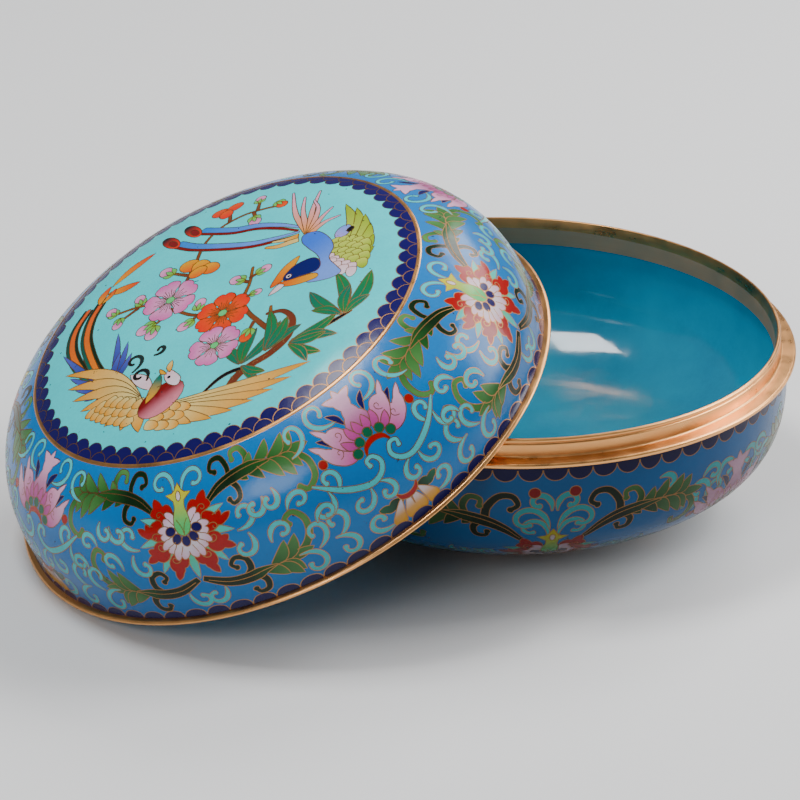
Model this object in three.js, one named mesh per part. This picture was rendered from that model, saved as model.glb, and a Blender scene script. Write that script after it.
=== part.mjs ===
// A round cloisonné enamel box, opened.
//
// The base is a deep enamelled copper bowl on a low foot. A gilt ring closes its mouth: a flange
// that the lid sits on when the box is shut, and a thin collar that keeps the lid in place. The lid
// is an enamelled copper dome with a gilt rim of its own. It has no hinge: it is lifted off and
// leans on the base, with its rim on the table on one side and on the collar on the other.
//
// Everything is turned, so each piece is one lathe profile. Millimetres, +Z up.

import * as THREE from 'three';

// ---- Driving dimensions -------------------------------------------------------------------

const RIM_RADIUS = 100;          // outside of both gilt rims, which meet when the box is shut
const BODY_RADIUS = 97.2;        // widest point of both enamelled bodies
const WALL = 2.3;                // copper with enamel on both sides
const GAP = 0.3;                 // clearance left between pieces that touch
const SEGMENTS = 64;             // facets round each piece

// Base, heights above the table.
const SEAT_Z = 59.8;             // top of the flange, where the lid sits
const COLLAR_TOP_Z = 66.5;
const COLLAR_RADIUS = 94.4;      // outside of the collar
const COLLAR_BORE = 92.5;        // inside of the mouth ring
const COLLAR_BEVEL = 3.8;        // height of the bevel inside the collar's top
const FLANGE_THICKNESS = 1.9;
const SKIRT = 3.2;               // how far the mouth ring reaches down inside the bowl
const BASE_WIDE_Z = 54.3;        // height of the bowl's widest point
const BOWL_POLE_Z = 0.9;         // where the bowl's curve would meet its axis
const BOWL_ROUNDNESS = { radial: 1.85, axial: 3.45 };
const FOOT_RADIUS = 46;
const FOOT_THICKNESS = 3.4;
const UNDERSIDE_Z = 3.4;         // the recessed floor inside the foot

// Lid, heights above the underside of its rim.
const LID_TOP = 56;
const LID_WIDE_Z = 6;            // height of the dome's widest point
const DOME_ROUNDNESS = { radial: 3.4, axial: 2.5 };
const RIM_HEIGHT = 2.2;
const RIM_BORE = 95.3;           // inside of the gilt rim
const RIM_FOOT_RADIUS = 99.4;    // where the rounded rim touches a table
const DOME_FOOT_RADIUS = 98.2;   // outside of the dome where it stands on its rim

// How the lid leans.
const LID_TILT = 27.25;          // of the lid's axis from upright, degrees
const LID_AZIMUTH = 206.26;      // direction in which the lid leans down, degrees from +X

// ---- Profiles -----------------------------------------------------------------------------

const point = (r, z) => new THREE.Vector2(r, z);

// Angle at which a quarter curve of radial exponent `radial` has come in to `share` of its width.
const angleAt = (share, radial) => Math.acos(share ** (radial / 2));

// A superellipse quarter between angle `from` and angle `to`: angle 0 is the widest point, at
// (wide, wideZ), and a right angle is the pole, on the axis at poleZ.
function quarterCurve(wide, wideZ, poleZ, { radial, axial }, from, to, steps) {
  const points = [];
  for (let i = 0; i <= steps; i++) {
    const angle = THREE.MathUtils.lerp(from, to, i / steps);
    const across = Math.max(Math.cos(angle), 0) ** (2 / radial);
    const along = Math.sin(angle) ** (2 / axial);
    points.push(point(wide * across, wideZ + (poleZ - wideZ) * along));
  }
  return points;
}

// A closed solid turned about Z.
function turned(profile) {
  return new THREE.LatheGeometry(profile, SEGMENTS).rotateX(Math.PI / 2);
}

// ---- Materials ----------------------------------------------------------------------------

const enamel = (color) => new THREE.MeshStandardMaterial({ color, roughness: 0.15, metalness: 0 });
const gilt = () => new THREE.MeshStandardMaterial({ color: 0xb5783c, roughness: 0.3, metalness: 1 });

// ---- Pieces -------------------------------------------------------------------------------

const RIGHT_ANGLE = Math.PI / 2;
const MOUTH_Z = SEAT_Z - FLANGE_THICKNESS - GAP;    // top edge of the bowl's wall

function baseBowl() {
  const toFoot = angleAt(FOOT_RADIUS / BODY_RADIUS, BOWL_ROUNDNESS.radial);
  const outside = quarterCurve(
    BODY_RADIUS, BASE_WIDE_Z, BOWL_POLE_Z, BOWL_ROUNDNESS, toFoot, 0, 10);
  const inside = quarterCurve(
    BODY_RADIUS - WALL, BASE_WIDE_Z, UNDERSIDE_Z + WALL, BOWL_ROUNDNESS, 0, RIGHT_ANGLE, 9);
  const footInside = FOOT_RADIUS - FOOT_THICKNESS;
  const profile = [
    point(0, UNDERSIDE_Z),
    point(footInside - 1, UNDERSIDE_Z),
    point(footInside, 0),
    point(FOOT_RADIUS - 0.5, 0),
    point(FOOT_RADIUS, 0.8),
    ...outside,
    point(BODY_RADIUS, MOUTH_Z),
    point(BODY_RADIUS - WALL, MOUTH_Z),
    ...inside,
  ];
  const mesh = new THREE.Mesh(turned(profile), enamel(0x1f86b8));
  mesh.name = 'base_bowl';
  return mesh;
}

function mouthRing() {
  const skirtRadius = BODY_RADIUS - WALL - GAP;
  const flangeUnder = SEAT_Z - FLANGE_THICKNESS;
  const profile = [
    point(COLLAR_BORE, SEAT_Z - SKIRT),
    point(skirtRadius, SEAT_Z - SKIRT),
    point(skirtRadius, flangeUnder),
    point(RIM_RADIUS - 0.6, flangeUnder),
    point(RIM_RADIUS, flangeUnder + 0.5),
    point(RIM_RADIUS, SEAT_Z - 0.6),
    point(RIM_RADIUS - 0.5, SEAT_Z),
    point(COLLAR_RADIUS + 0.6, SEAT_Z),
    point(COLLAR_RADIUS, SEAT_Z + 0.6),
    point(COLLAR_RADIUS, COLLAR_TOP_Z - 0.5),
    point(COLLAR_RADIUS - 0.4, COLLAR_TOP_Z),
    point(COLLAR_RADIUS - 0.9, COLLAR_TOP_Z),
    point(COLLAR_BORE, COLLAR_TOP_Z - COLLAR_BEVEL),
    point(COLLAR_BORE, SEAT_Z - SKIRT),
  ];
  const mesh = new THREE.Mesh(turned(profile), gilt());
  mesh.name = 'mouth_ring';
  return mesh;
}

function lidDome() {
  const foot = RIM_HEIGHT + GAP;
  const bore = BODY_RADIUS - WALL;
  const inside = quarterCurve(
    bore, LID_WIDE_Z, LID_TOP - WALL, DOME_ROUNDNESS, RIGHT_ANGLE, 0, 9);
  const outside = quarterCurve(
    BODY_RADIUS, LID_WIDE_Z, LID_TOP, DOME_ROUNDNESS, 0, RIGHT_ANGLE, 12);
  const profile = [...inside, point(bore, foot), point(DOME_FOOT_RADIUS, foot), ...outside];
  const mesh = new THREE.Mesh(turned(profile), enamel(0x3d93c4));
  mesh.name = 'lid_dome';
  return mesh;
}

function lidRim() {
  const profile = [
    point(RIM_BORE, 0),
    point(RIM_FOOT_RADIUS, 0),
    point(RIM_RADIUS, 0.5),
    point(RIM_RADIUS, RIM_HEIGHT - 0.5),
    point(RIM_RADIUS - 0.6, RIM_HEIGHT),
    point(RIM_BORE, RIM_HEIGHT),
    point(RIM_BORE, 0),
  ];
  const mesh = new THREE.Mesh(turned(profile), gilt());
  mesh.name = 'lid_rim';
  return mesh;
}

// ---- Assembly -----------------------------------------------------------------------------

// Puts the lid where it leans. Its own +X axis is the one that runs down the slope. The foot of
// its rim is on the table there, and further up the slope, where its mouth plane has risen to the
// collar's top, the rim's inner edge meets the collar on both sides.
function leaningLid() {
  const tilt = THREE.MathUtils.degToRad(LID_TILT);
  const centreZ = RIM_FOOT_RADIUS * Math.sin(tilt);
  const upSlope = (COLLAR_TOP_Z - centreZ) / Math.sin(tilt);
  const halfChordSquared = (RIM_BORE - GAP) ** 2 - upSlope ** 2;
  const reach = upSlope * Math.cos(tilt) + Math.sqrt(COLLAR_RADIUS ** 2 - halfChordSquared);

  const tilted = new THREE.Group();
  tilted.rotation.y = tilt;
  tilted.position.set(reach, 0, centreZ);
  tilted.add(lidDome(), lidRim());

  const turnedAway = new THREE.Group();
  turnedAway.rotation.z = THREE.MathUtils.degToRad(LID_AZIMUTH);
  turnedAway.add(tilted);
  return turnedAway;
}

const assembly = new THREE.Group();
assembly.add(baseBowl(), mouthRing(), leaningLid());
assembly.updateMatrixWorld(true);

// The origin is on the table, under the middle of everything.
const bounds = new THREE.Box3().setFromObject(assembly, true);
const middle = bounds.getCenter(new THREE.Vector3());
assembly.position.set(-middle.x, -middle.y, -bounds.min.z);

const cloisonneBox = new THREE.Group();
cloisonneBox.add(assembly);

export default cloisonneBox;
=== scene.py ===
# The looks of a cloisonné enamel box: its lid leans on its open base.
#
# The enamelled surfaces are drawn flat, in millimetres, as cells that lie over one another, and
# then wrapped round the turned copper bodies, with gilt wires along the edges of the cells.

import math

import bpy
import numpy as np
from mathutils import Matrix, Vector
from mathutils.geometry import delaunay_2d_cdt


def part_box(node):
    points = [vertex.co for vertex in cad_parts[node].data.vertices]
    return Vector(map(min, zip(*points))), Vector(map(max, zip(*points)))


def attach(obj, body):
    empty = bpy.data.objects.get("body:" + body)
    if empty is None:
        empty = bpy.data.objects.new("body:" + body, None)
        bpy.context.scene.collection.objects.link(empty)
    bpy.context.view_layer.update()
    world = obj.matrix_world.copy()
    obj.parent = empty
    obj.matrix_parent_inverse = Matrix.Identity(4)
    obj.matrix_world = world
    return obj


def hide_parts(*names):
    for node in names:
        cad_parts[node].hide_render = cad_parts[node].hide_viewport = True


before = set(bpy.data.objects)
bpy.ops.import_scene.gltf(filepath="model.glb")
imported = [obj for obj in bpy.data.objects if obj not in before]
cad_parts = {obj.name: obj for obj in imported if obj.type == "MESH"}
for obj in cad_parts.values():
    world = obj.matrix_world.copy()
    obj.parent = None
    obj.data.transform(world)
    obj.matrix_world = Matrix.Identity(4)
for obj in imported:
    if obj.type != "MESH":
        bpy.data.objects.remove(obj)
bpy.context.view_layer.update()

# ---- Dimensions, in millimetres, those of the solids -------------------------------------------

MM = 0.001
INSET = 0.12                     # how far the dressed surfaces lie inside the faceted solids
RIM_RADIUS = 100.0
BODY_RADIUS = 97.2
WALL = 2.3
SEAT_Z = 59.8
COLLAR_TOP_Z = 66.5
COLLAR_RADIUS = 94.4
COLLAR_BORE = 92.5
COLLAR_BEVEL = 3.8
FLANGE_THICKNESS = 1.9
SKIRT = 3.2
BASE_WIDE_Z = 54.3
BOWL_POLE_Z = 0.9
BOWL_ROUNDNESS = (1.85, 3.45)
FOOT_RADIUS = 46.0
FOOT_THICKNESS = 3.4
UNDERSIDE_Z = 3.4
LID_TOP = 56.0
LID_WIDE_Z = 6.0
DOME_ROUNDNESS = (3.4, 2.5)
RIM_HEIGHT = 2.2
RIM_BORE = 95.3
DOME_FOOT_RADIUS = 98.2
LID_TILT = math.radians(27.25)
LID_AZIMUTH = math.radians(206.26)

RING_WIDTH = 1.5                 # of the gilt ring round the picture on the lid
TURNS = 256                      # facets round each turned piece

# ---- Colours, as seen ---------------------------------------------------------------------------

PURITY = 1.3                     # the render's film-like view mutes colours, so these are purer
LUMA = (0.21, 0.72, 0.07)        # how much each channel counts towards grey
DARKEST, LIGHTEST = 0.003, 0.9   # that a pigment can be


def linear(*display):
    """A colour given as 0-255 display values, as the linear colour of a pigment."""
    light = [((c / 255 + 0.055) / 1.055) ** 2.4 for c in display]
    grey = sum(share * c for share, c in zip(LUMA, light))
    return tuple(min(max(grey + (c - grey) * PURITY, DARKEST), LIGHTEST) for c in light)


SKY = linear(50, 124, 188)
POND = linear(118, 226, 230)
COBALT = linear(24, 14, 84)
SCROLL = linear(112, 208, 212)
LEAF_DARK = linear(4, 40, 20)
LEAF_MID = linear(50, 94, 52)
LEAF_LIGHT = linear(100, 142, 92)
POD = linear(122, 208, 140)
POD_TIP = linear(226, 212, 112)
RED = linear(168, 34, 26)
WHITE = linear(238, 226, 234)
PINK = linear(202, 104, 160)
PINK_LIGHT = linear(244, 186, 210)
MAUVE = linear(166, 74, 132)
BEAD = linear(2, 100, 74)
ORANGE = linear(248, 108, 10)
AMBER = linear(240, 172, 40)

# ---- Curves on the chart ------------------------------------------------------------------------

STEP = 0.8                       # spacing of the points along a drawn curve, in millimetres
CAP_POINTS, CAP_DEPTH = 7, 0.9   # of a stroke's round end, its depth as a share of its radius
CURL_STEP = 1.3                  # how much finer a curl's points are than STEP
CURL_EVEN, CURL_GATHER = 0.25, 2.1     # share of a curl's turn that comes evenly; the rest's power


def smooth(points, closed=False, step=STEP):
    """A Catmull-Rom curve through the points."""
    p = np.asarray(points, float)
    if closed:
        p = np.vstack([p[-1], p, p[0], p[1]])
    else:
        p = np.vstack([2 * p[0] - p[1], p, 2 * p[-1] - p[-2]])
    out = []
    for a, b, c, d in zip(p, p[1:], p[2:], p[3:]):
        n = max(2, int(np.ceil(np.hypot(*(c - b)) / step)))
        t = (np.arange(n) / n)[:, None]
        out.append(0.5 * (2 * b + (c - a) * t + (2 * a - 5 * b + 4 * c - d) * t**2
                          + (3 * b - a - 3 * c + d) * t**3))
    if not closed:
        out.append(p[-2:-1])
    return np.vstack(out)


def lobed(points, bulge):
    """A closed outline whose corners are the points; each side is an arc that swells outward."""
    p = np.asarray(points, float)
    if area(p) < 0:
        p = p[::-1]
    out = []
    for a, b in zip(p, np.roll(p, -1, axis=0)):
        along = b - a
        n = max(2, int(np.ceil(np.hypot(*along) / STEP)))
        t = (np.arange(n) / n)[:, None]
        out.append(a + along * t + np.array([along[1], -along[0]]) * bulge * 4 * t * (1 - t))
    return np.vstack(out)


def area(p):
    x, y = p.T
    return 0.5 * np.sum(x * np.roll(y, -1) - y * np.roll(x, -1))


def sideways(path):
    """The unit normal, to the left, at each point of an open path."""
    along = np.gradient(path, axis=0)
    along /= np.maximum(np.hypot(*along.T), 1e-9)[:, None]
    return np.stack([-along[:, 1], along[:, 0]], 1)


def stroke(path, widths, bulb=1.0):
    """The outline of a brush stroke along a path: `widths` at even shares of its length, and a
    round end `bulb` times as wide as the stroke there."""
    length = np.concatenate([[0], np.cumsum(np.hypot(*np.diff(path, axis=0).T))])
    share = length / length[-1]
    half = np.interp(share, np.linspace(0, 1, len(widths)), widths) / 2
    normal = sideways(path)
    left, right = path + normal * half[:, None], path - normal * half[:, None]
    out = normal[-1]
    forward = np.array([out[1], -out[0]])
    radius = half[-1] * bulb
    turn = np.linspace(np.pi / 2, -np.pi / 2, CAP_POINTS)[:, None]
    cap = path[-1] + radius * (np.cos(turn) * forward * CAP_DEPTH + np.sin(turn) * out)
    return np.vstack([left[:-1], cap, right[-2::-1]])


def curl(x, y, heading, length, turn):
    """A path that starts at (x, y) and winds up ever tighter, by `turn` degrees in all."""
    n = max(8, int(length / STEP * CURL_STEP))
    t = (np.arange(n) + 0.5) / n
    wound = CURL_EVEN * t + (1 - CURL_EVEN) * t**CURL_GATHER
    angle = np.radians(heading) + np.radians(turn) * wound
    steps = np.stack([np.cos(angle), np.sin(angle)], 1) * length / n
    return np.vstack([[x, y], np.array([x, y]) + np.cumsum(steps, axis=0)])


def ellipse(x, y, rx, ry=None, angle=0.0, n=18):
    t = np.linspace(0, 2 * np.pi, n, endpoint=False)
    p = np.stack([rx * np.cos(t), (ry or rx) * np.sin(t)], 1)
    return turned_about(p, angle) + (x, y)


def turned_about(p, degrees):
    c, s = math.cos(math.radians(degrees)), math.sin(math.radians(degrees))
    return np.asarray(p, float) @ np.array([[c, s], [-s, c]])


def blade(x0, y0, x1, y1, width, bend=0.0, n=9):
    """A pointed leaf from one point to another, widest in the middle, bent to the left."""
    start, end = np.array([x0, y0], float), np.array([x1, y1], float)
    along = end - start
    normal = np.array([-along[1], along[0]]) / np.hypot(*along)
    t = np.linspace(0, 1, n)[:, None]
    swell = np.sin(np.pi * t) ** 0.8 * width / 2
    middle = start + along * t + normal * bend * np.sin(np.pi * t)
    return np.vstack([middle - normal * swell, (middle + normal * swell)[-2:0:-1]])


# ---- Painting -----------------------------------------------------------------------------------

WIRE = 0.30                      # width of a cloison, seen from above
FINE, FINER = WIRE * 0.8, WIRE * 0.7   # of the ones inside a petal or a leaf
WELD = 1e-4                      # points closer than this become one
SLIVER = 1e-7                    # twice the area of a triangle that is too thin to keep


def winds_round(polygon, points):
    """Whether each point is inside the polygon, which may overlap itself."""
    out = np.zeros(len(points), bool)
    near = ((points >= polygon.min(0)) & (points <= polygon.max(0))).all(1)
    if not near.any():
        return out
    x, y = points[near].T
    a, b = polygon, np.roll(polygon, -1, axis=0)
    rise = b[:, 1] - a[:, 1]
    crosses = (a[:, 1, None] > y) != (b[:, 1, None] > y)
    with np.errstate(divide="ignore", invalid="ignore"):
        at = a[:, 0, None] + (y - a[:, 1, None]) * ((b[:, 0] - a[:, 0]) / rise)[:, None]
    turns = np.where(crosses & (x < at), np.sign(rise)[:, None], 0).sum(0)
    out[near] = turns != 0
    return out


class Painting:
    """Cells of enamel on a chart. A later cell lies over the earlier ones."""

    def __init__(self, field, ground):
        self.field = np.asarray(field, float)
        self.cells = [(self.field, ground, ground, None)]
        self.wires = []

    def cell(self, outline, colour, far=None, axis=None, wire=WIRE):
        """Adds a cell. Its colour runs to `far` along `axis`, two points."""
        outline = np.asarray(outline, float)
        self.cells.append((outline, colour, far or colour, axis))
        if wire:
            self.wires.append((np.vstack([outline, outline[:1]]), wire, len(self.cells)))

    def soft_cell(self, points, *colours):
        """A cell with a smooth edge through the points."""
        self.cell(smooth(points, closed=True), *colours)

    def line(self, path, wire=WIRE):
        self.wires.append((np.asarray(path, float), wire, len(self.cells)))

    def triangulate(self, lattice):
        """Points on the chart, triangles, and a colour for each corner of each triangle."""
        points, edges = [], []
        for outline, *_ in self.cells:
            first = sum(map(len, points))
            n = len(outline)
            points.append(outline)
            edges += [(first + i, first + (i + 1) % n) for i in range(n)]
        points.append(np.asarray(lattice, float))
        flat = [Vector(p) for p in np.vstack(points)]
        verts, _, faces, *_ = delaunay_2d_cdt(flat, edges, [], 0, WELD, False)
        verts, faces = np.array([tuple(v) for v in verts]), np.array(faces)
        corners = verts[faces]
        u, v = corners[:, 1] - corners[:, 0], corners[:, 2] - corners[:, 0]
        size = u[:, 0] * v[:, 1] - u[:, 1] * v[:, 0]
        middle = corners.mean(1)
        keep = winds_round(self.field, middle) & (np.abs(size) > SLIVER)
        faces, middle, size = faces[keep], middle[keep], size[keep]
        faces[size < 0] = faces[size < 0][:, ::-1]
        top = np.zeros(len(faces), int)
        for k, (outline, *_) in enumerate(self.cells):
            top[winds_round(outline, middle)] = k
        colours = np.zeros((len(faces), 3, 3))
        for k in np.unique(top):
            _, near, far, axis = self.cells[k]
            chosen = top == k
            if axis is None:
                colours[chosen] = near
                continue
            start, end = np.asarray(axis[0], float), np.asarray(axis[1], float)
            along = end - start
            share = ((verts[faces[chosen]] - start) @ along / (along @ along)).clip(0, 1)[..., None]
            colours[chosen] = (1 - share) * np.array(near) + share * np.array(far)
        return verts, faces, colours

    def ribbons(self):
        """The wires that show, each as its middle line and its width."""
        out = []
        for path, width, level in self.wires:
            path = cut_at(path, self.field)
            middle = (path[1:] + path[:-1]) / 2
            shown = winds_round(self.field, middle)
            for outline, *_ in self.cells[level:]:
                shown &= ~winds_round(outline, middle)
            runs, start = [], None
            for i, good in enumerate(np.append(shown, False)):
                if good and start is None:
                    start = i
                if not good and start is not None:
                    runs.append(path[start:i + 1])
                    start = None
            out += [(run, width) for run in runs if len(run) > 1]
        return out


def cut_at(path, field):
    """The path with a point added wherever it crosses an edge of a box-shaped field."""
    if len(field) != 4:
        return path
    (x0, y0), (x1, y1) = field.min(0), field.max(0)
    out = [path[0]]
    for a, b in zip(path, path[1:]):
        cuts = []
        for k, edge in ((0, x0), (0, x1), (1, y0), (1, y1)):
            if (a[k] - edge) * (b[k] - edge) < 0:
                cuts.append((edge - a[k]) / (b[k] - a[k]))
        out += [a + (b - a) * t for t in sorted(cuts)] + [b]
    return np.array(out)


# ---- The lotus scroll ---------------------------------------------------------------------------
# Half a repeat: the white-and-red flower's axis is at x = 0, the pink one's at x = HALF, and the
# rest is its mirror image. y runs from the rim towards the top of the flowers.

CHART_RADIUS = 90.0              # the chart's x is an angle times this
REPEATS = 4
HALF = math.pi * CHART_RADIUS / REPEATS
SCALLOPS_A_HALF = 9
LID_SCALLOP, BASE_SCALLOP = 2.7, 4.0   # how far a row of scallops reaches from the rim
LID_SCROLL, BASE_SCROLL = 1.75, 2.1    # how wide the turquoise scrolls are
WHITE_DROP, PINK_DROP = 72.9, 66.7     # from the base's mouth down to y = 0 of each flower
BAND = 1.6                       # of cobalt between the base's mouth and its scallops
FROND_SPLAY = math.radians(42)   # between a leaf's rib and its blades
FROND_LENGTH, FROND_WIDTH, FROND_BEND = 1.34, 1.36, 0.14


def chart(height):
    return [(0, 0), (HALF, 0), (HALF, height), (0, height)]


def c_scrolls(p, width, scrolls):
    """Scrolls, each as x, y, heading, length and turn."""
    for scroll in scrolls:
        outline = stroke(curl(*scroll), (0.5, width, width * 1.05, width * 0.85, width * 0.8), 1.35)
        p.cell(outline, SCROLL)


def tendril(p, points, widths, near, far=None, bulb=1.2):
    path = smooth(points)
    p.cell(stroke(path, widths, bulb), near, far, (points[0], points[-1]))


def fronds(p, rib, blades, near, far):
    """Pointed blades that spring from a rib, each as place along it, side, length and width."""
    path = smooth(rib)
    for place, side, length, width in blades:
        k = round(place * (len(path) - 1))
        along = path[min(k + 1, len(path) - 1)] - path[max(k - 1, 0)]
        heading = math.atan2(along[1], along[0]) + side * FROND_SPLAY
        foot = path[k]
        reach = FROND_LENGTH * length
        tip = foot + reach * np.array([math.cos(heading), math.sin(heading)])
        p.cell(blade(*foot, *tip, FROND_WIDTH * width, -FROND_BEND * side * reach), near, far,
               (foot, tip))


def feathery_leaf(p, rib, pale, dark, body, widths, fade):
    """Pale and dark fronds, over them the leaf's body, which pales along `fade`, and its rib."""
    fronds(p, rib, pale, LEAF_MID, LEAF_LIGHT)
    fronds(p, rib, dark, LEAF_DARK, LEAF_MID)
    p.cell(stroke(smooth(body), widths), LEAF_DARK, LEAF_MID, fade)
    p.line(smooth(rib))


def paint_upper_leaf(p):
    """Dark at the flower, paler and feathery at its tip."""
    tendril(p, [(20.6, 45.6), (20.6, 49), (18.6, 52.6), (15, 52.4), (13.6, 49.4), (15.6, 48.2)],
            (1.8, 2.1, 2, 1.6, 1.4), LEAF_DARK, bulb=1.5)
    tendril(p, [(28, 46.6), (29, 50), (27, 53.6), (23.6, 53.2), (23.4, 50.6)],
            (2.2, 2.3, 1.9, 1.5), LEAF_MID, LEAF_LIGHT, bulb=1.5)
    tendril(p, [(21, 43.4), (22.8, 40.6), (22.6, 37.4), (20, 36.2), (18.8, 37.8)],
            (2.2, 2, 1.6, 1.3), LEAF_DARK, bulb=1.6)
    tendril(p, [(39, 43.6), (44.6, 43.6), (48.6, 39.4), (48.4, 33.6), (44.6, 30.6),
                (42.2, 32.6)], (1.8, 2.4, 2.3, 2, 1.6), LEAF_MID, LEAF_LIGHT, bulb=1.3)
    rib = [(10.4, 39.2), (16, 43.4), (23, 45.6), (31, 46.3), (38, 45.6), (42, 45.2)]
    pale = ((1, 0, 7.6, 2.6), (0.94, 1, 7.4, 2.7), (0.92, -1, 7.6, 2.8), (0.80, 1, 8.2, 2.9),
            (0.78, -1, 9.4, 3.2), (0.66, 1, 7.2, 2.8), (0.64, -1, 9.2, 3.2), (0.54, 1, 4.6, 2.2))
    body = [(9.8, 38.8), (16, 43), (23, 45), (31, 45.8), (36.6, 45.4)]
    feathery_leaf(p, rib, pale, ((0.50, -1, 7.4, 2.8), (0.38, -1, 5.2, 2.4)), body,
                  (1.6, 3.5, 4.4, 4.2, 0.5), ((22, 44), (35, 45)))


def paint_lower_leaf(p):
    """The one that springs from under the flower."""
    tendril(p, [(14.6, 11), (16.8, 13.6), (16.6, 17.4), (13.4, 18.8), (11.4, 16.8),
                (12.8, 15.2)], (2.2, 2.2, 2, 1.6, 1.4), LEAF_DARK, bulb=1.5)
    tendril(p, [(18, 10.4), (19.6, 7.4), (18.8, 4.2), (16, 3.6), (15, 5.2)],
            (2.6, 2.2, 1.8, 1.4), LEAF_DARK, bulb=1.6)
    tendril(p, [(27, 12.4), (33.6, 13.2), (38, 17.2), (39, 22.6), (36.4, 26.6),
                (33.2, 25.6), (33.8, 23.2)], (2, 2.5, 2.5, 2.1, 1.8, 1.4),
            LEAF_MID, LEAF_LIGHT, bulb=1.4)
    rib = [(2.2, 13.4), (8.6, 10.8), (15, 10.4), (21, 11.4), (27, 11.8)]
    pale = ((1, 0, 7.8, 2.8), (0.94, 1, 8.6, 3), (0.90, -1, 7, 2.8), (0.82, 1, 7.8, 2.9),
            (0.80, -1, 8.6, 3.1), (0.70, -1, 6.6, 2.7))
    body = [(0.8, 14.4), (8.6, 10.8), (15, 10.2), (21, 11.4), (24.6, 11.8)]
    feathery_leaf(p, rib, pale, (), body, (2, 3.3, 4, 4, 0.5), ((15, 11), (23, 11)))


def paint_scrolls(p):
    """The turquoise scrolls between the flowers and the leaves."""
    c_scrolls(p, LID_SCROLL, (
        (1.7, 44.4, 94, 19.5, -300), (17.9, 27.4, -4, 17, 292), (20.8, 25.6, -66, 15, -280),
        (26.3, 19.8, 88, 15, -292), (6.2, 9.6, -86, 14, -280), (29.6, 35.2, -88, 13.5, -285),
        (33.6, 36.6, -64, 12.5, -280), (35.4, 27.8, 72, 14, -290), (31.8, 11.6, 0, 19, -290),
        (38.6, 10.6, 22, 17.5, 290), (46, 10.8, 24, 17.5, 290), (44.6, 11.2, -6, 17, -290),
        (HALF - 18.8, 24.6, 42, 14, 275), (HALF - 21.6, 26.4, -72, 16, -285),
        (HALF - 9.6, 20, -84, 15.5, -290), (HALF - 6, 20, -24, 14, -290),
        (HALF - 6.1, 44.6, 186, 24, -325), (HALF - 26.5, 41.8, 6, 22, 305),
        (HALF - 8.4, 3.6, 190, 15.5, -290), (HALF - 28.6, 19, 80, 12.5, -285),
    ))
    tendril(p, [(HALF - 25.4, 30.4), (HALF - 17, 24.2), (HALF - 9, 20.8), (HALF - 4.2, 21.8),
                (HALF - 2, 25.2), (HALF - 3.6, 28.2), (HALF - 6, 27.8), (HALF - 5.8, 25.8)],
            (0.8, 1.7, 2.2, 2.2, 1.9, 1.6, 1.4), SCROLL, bulb=1.3)


def spoke(points, angle, centre):
    """Points given along and across a petal, turned out from the flower's centre."""
    return turned_about(points, angle) + centre


def from_pink(points):
    """Points given by how far they are to the left of the pink flower's axis, and by y."""
    return np.array([(HALF - dx, y) for dx, y in points])


# Red petals like flames round the white-and-red flower, to the right of its axis.
FLAMES = (
    [(3.2, 36.6), (2.9, 39.2), (4.6, 41.4), (6.6, 41), (10, 43.8), (10.4, 40.8), (11.8, 38.6),
     (9, 37), (6.2, 35.2)],
    [(7.4, 34), (8.2, 36.6), (10.6, 36.4), (12.4, 34.8), (14.2, 35.8), (14.4, 34), (17.6, 34.4),
     (15.2, 31.6), (12.6, 31), (8.2, 29.8)],
    [(8, 29.4), (11, 29.4), (12.4, 27.6), (14.6, 27.2), (13.8, 25.4), (15.8, 22.8), (12, 23.2),
     (9.4, 22.6), (6.8, 25)],
    [(1.2, 24), (1.8, 20.4), (3.6, 19.4), (4.6, 17.6), (7.2, 15.2), (7.3, 18.6), (8.4, 20.8),
     (7.2, 23.6), (4.2, 25.2)],
)


def paint_white_flower(p):
    """Half a white-and-red flower, and its mirror image's crown."""
    centre = np.array([0, 31])
    for angle, length in ((22, 17.4), (-9, 17.6), (-47, 17), (-90, 16.4)):
        tip = spoke([(3, 0), (length, 0)], angle, centre)
        p.cell(blade(*tip[0], *tip[1], 3, 0.8 if angle > -90 else 0), POD, SCROLL, tip)
    for flame in FLAMES:
        p.cell(lobed(flame, 0.12), RED)
    for angle, side in ((46, 1), (6, 1), (-31, -1), (-67, -1)):
        white = [(2.6, -0.9), (5.4, -2.3), (8, -2.2), (8.9, -0.9), (7.8, 0.1), (9.8, 0.8),
                 (8.8, 2.2), (5.6, 2.3), (2.6, 0.9)]
        p.cell(lobed(spoke(white, angle, centre), 0.14), WHITE, PINK_LIGHT,
               spoke([(5, 0), (10, 0)], angle, centre))
        p.line(spoke([(4.4, 0), (7.6, 0.2)], angle, centre))
        p.line(spoke(curl(9.4, 0.2, 20, 6.2, -330 * side), angle, centre))
    for k in range(5):
        angle = math.radians(-90 + 38 * (k - 2))
        x, y = 5 * math.cos(angle), 33.6 + 5 * math.sin(angle)
        p.cell(ellipse(x, y, 1.9, 1.55, math.degrees(angle)), COBALT)
    side = [(0, 30.2), (1.9, 31.2), (3, 33.6), (2.8, 36.8), (2, 39.8), (2.2, 42)]
    crown = [(5.2, 44.4), (2.5, 44.8), (1.5, 45.6), (0, 48.2)]
    right = np.vstack([smooth(side), crown])
    p.cell(np.vstack([right, right[::-1] * (-1, 1)]), POD, POD_TIP, ((0, 34), (0, 45)))
    p.cell(ellipse(0, 43.6, 0.9, 1.7), WHITE, POD_TIP, ((0, 44), (0, 46)))
    for mirror in (1, -1):
        p.line(smooth([(0, 30.6), (0.5 * mirror, 33.4), (2 * mirror, 36)]), FINE)


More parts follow.
